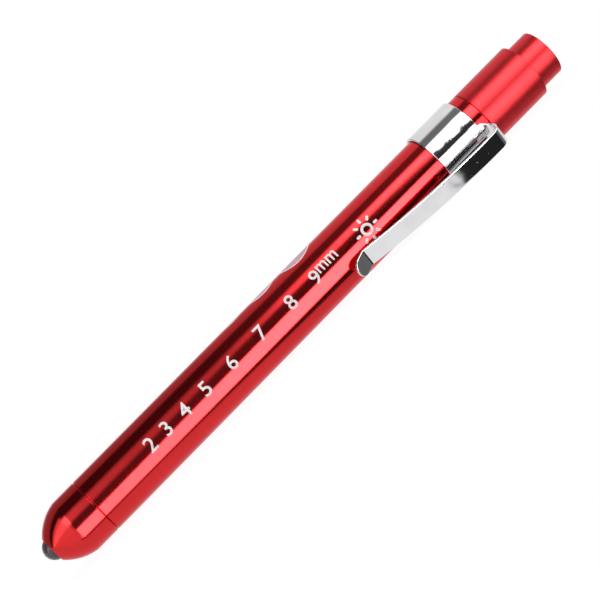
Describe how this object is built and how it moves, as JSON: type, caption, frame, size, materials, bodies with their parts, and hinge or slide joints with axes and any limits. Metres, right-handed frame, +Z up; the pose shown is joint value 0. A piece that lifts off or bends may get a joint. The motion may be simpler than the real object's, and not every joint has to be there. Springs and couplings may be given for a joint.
{
  "type": "diagnostic penlight",
  "caption": "Slim medical penlight with a bullet nose and lamp, pupil gauge barrel, chrome pocket clip, screwed tail cap and push-button switch.",
  "frame": {"origin": "on the barrel's axis at the seam between the nose cap and the barrel", "axes": "+X along the barrel towards the push button, +Z up with the light lying on its clip band and the corner of its clip"},
  "size_m": [0.1397, 0.0172, 0.0137],
  "materials": {
    "red_anodised": "polished anodised, deep red",
    "red_satin": "fine-turned anodised, red",
    "chrome_clip": "bright nickel-chrome plate",
    "lamp_epoxy": "clear moulded epoxy",
    "lead_frame": "silver-plated stamping",
    "phosphor": "yellow phosphor in silicone",
    "white_nylon": "moulded, satin",
    "circuit_board": "glass-fibre laminate with green mask",
    "resistor_ceramic": "glazed ceramic chip",
    "brass": "turned, bright",
    "cell_steel": "nickel-plated steel",
    "cell_can": "nickel-plated steel, with the mean density of a whole cell",
    "cell_sleeve": "shrunk printed film",
    "cell_insulator": "moulded nylon",
    "black_plastic": "moulded, satin",
    "spring_steel": "drawn, nickel-plated wire",
    "acetal": "moulded, low gloss",
    "white_ink": "screen-printed ink on the barrel",
    "gauge_ink": "thin screen-printed ink on the barrel"
  },
  "bodies": {
    "barrel_body": {"barrel": "red_anodised", "nose_cap": "red_anodised", "led_lens": "lamp_epoxy", "led_cathode": "lead_frame", "led_anode": "lead_frame", "led_phosphor": "phosphor", "led_holder": "white_nylon", "driver_board": "circuit_board", "resistor": "resistor_ceramic", "front_contact": "brass", "board_ring": "brass", "clip_band": "chrome_clip", "cell_1_can": "cell_can", "cell_1_label": "cell_sleeve", "cell_1_washer": "cell_insulator", "cell_1_seal": "cell_insulator", "cell_1_base": "cell_steel", "cell_2_can": "cell_can", "cell_2_label": "cell_sleeve", "cell_2_washer": "cell_insulator", "cell_2_seal": "cell_insulator", "cell_2_base": "cell_steel"},
    "clip_spring": {"clip_arm": "chrome_clip"},
    "tail_spring": {"battery_spring": "spring_steel"},
    "tail_unit": {"tail_cap": "red_satin", "switch_housing": "black_plastic", "switch_lid": "black_plastic", "switch_retainer": "brass", "switch_terminal": "brass", "switch_spring": "spring_steel"},
    "button_unit": {"push_button": "red_satin", "switch_plunger": "acetal", "contact_bridge": "brass"},
    "click_rotor": {"ratchet_rotor": "acetal"}
  },
  "joints": [
    {"name": "clip_flex", "type": "hinge", "parent": "barrel_body", "child": "clip_spring", "pos_m": [0.10453, -0.009, -0.00481], "axis": [0, -0.4712, 0.882], "range_deg": [0, 4], "stiffness_Nm_per_rad": 6},
    {"name": "tail_slide", "type": "slide", "parent": "barrel_body", "child": "tail_spring", "axis": [1, 0, 0], "range_m": [0, 0.0048], "deforming": ["battery_spring"]},
    {"name": "tail_turn", "type": "hinge", "parent": "tail_spring", "child": "tail_unit", "pos_m": [0.1068, 0, 0], "axis": [1, 0, 0], "range_deg": [0, 2160]},
    {"name": "button_press", "type": "slide", "parent": "tail_unit", "child": "button_unit", "axis": [-1, 0, 0], "range_m": [0, 0.002], "stiffness_N_per_m": 1500, "springref_m": -0.002, "deforming": ["switch_spring"]},
    {"name": "rotor_turn", "type": "hinge", "parent": "button_unit", "child": "click_rotor", "pos_m": [0.1067, 0, 0], "axis": [1, 0, 0], "range_deg": [0, 45]}
  ],
  "couplings": [
    {"joint": "tail_slide", "follows": "tail_turn", "m_per_rad": 0.00012732},
    {"joint": "rotor_turn", "follows": "button_press", "rad_per_m": 392.7}
  ]
}
